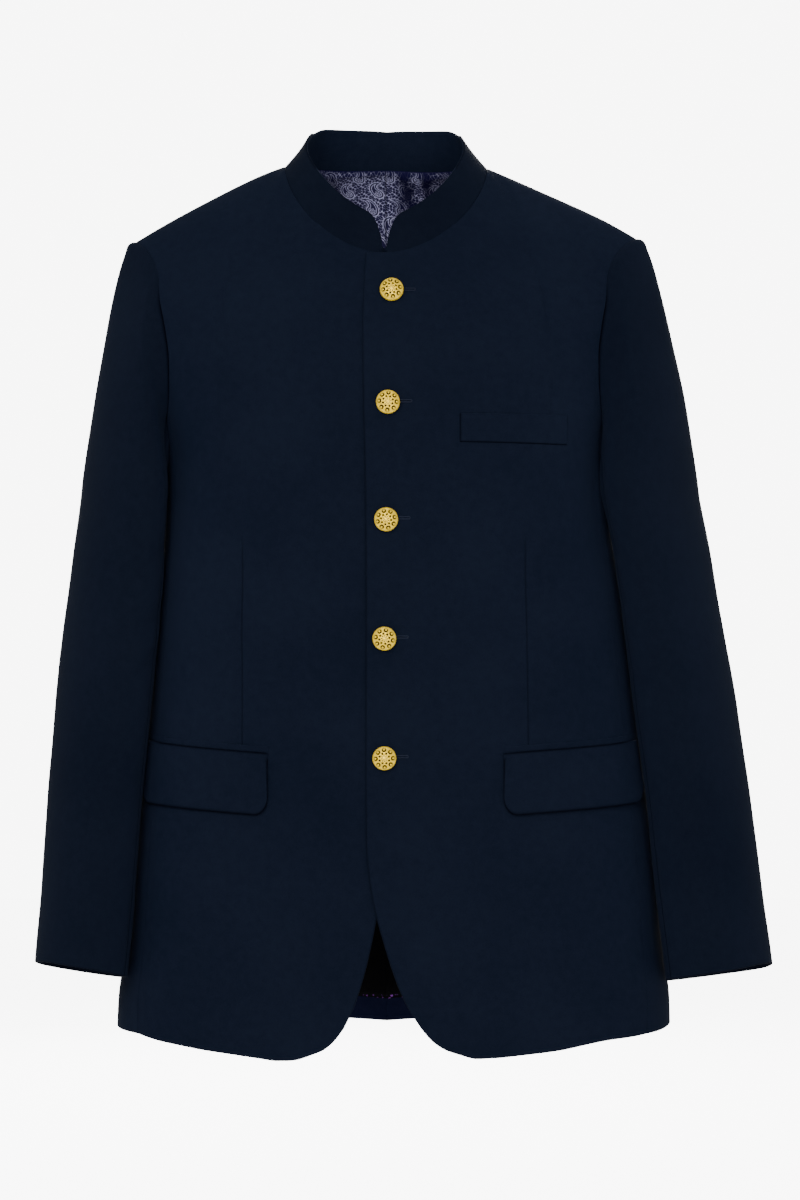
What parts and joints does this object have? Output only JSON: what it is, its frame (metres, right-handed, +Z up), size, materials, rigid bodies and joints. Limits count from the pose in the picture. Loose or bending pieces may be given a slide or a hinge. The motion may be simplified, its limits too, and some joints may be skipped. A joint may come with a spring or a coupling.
{
  "type": "bandhgala jacket",
  "caption": "Hip-length tailored jacket with a stand collar, domed shank buttons, flap pockets, a chest welt and a cutaway hem, filled out and hollow.",
  "frame": {"origin": "middle of the neck's base, level with the points where the shoulder seams meet the collar", "axes": "+Z up along centre back, -Y out of the front, +X towards the wearer's left"},
  "size_m": [0.6317, 0.2663, 0.7994],
  "materials": {
    "cloth": "matte smooth suiting, dark navy",
    "lining": "satin jacquard, purple navy",
    "buttons": "polished, pale gold"
  },
  "bodies": {
    "root": {"front_left": "cloth", "front_right": "cloth", "side_left": "cloth", "side_right": "cloth", "back_left": "cloth", "back_right": "cloth", "back_lining": "lining", "sleeve_left_top": "cloth", "sleeve_left_under": "cloth", "sleeve_right_top": "cloth", "sleeve_right_under": "cloth", "collar": "cloth", "flap_left": "cloth", "flap_right": "cloth", "jet_left": "cloth", "jet_right": "cloth", "chest_welt": "cloth", "button_1": "buttons", "button_2": "buttons", "button_3": "buttons", "button_4": "buttons", "button_5": "buttons"}
  },
  "joints": []
}
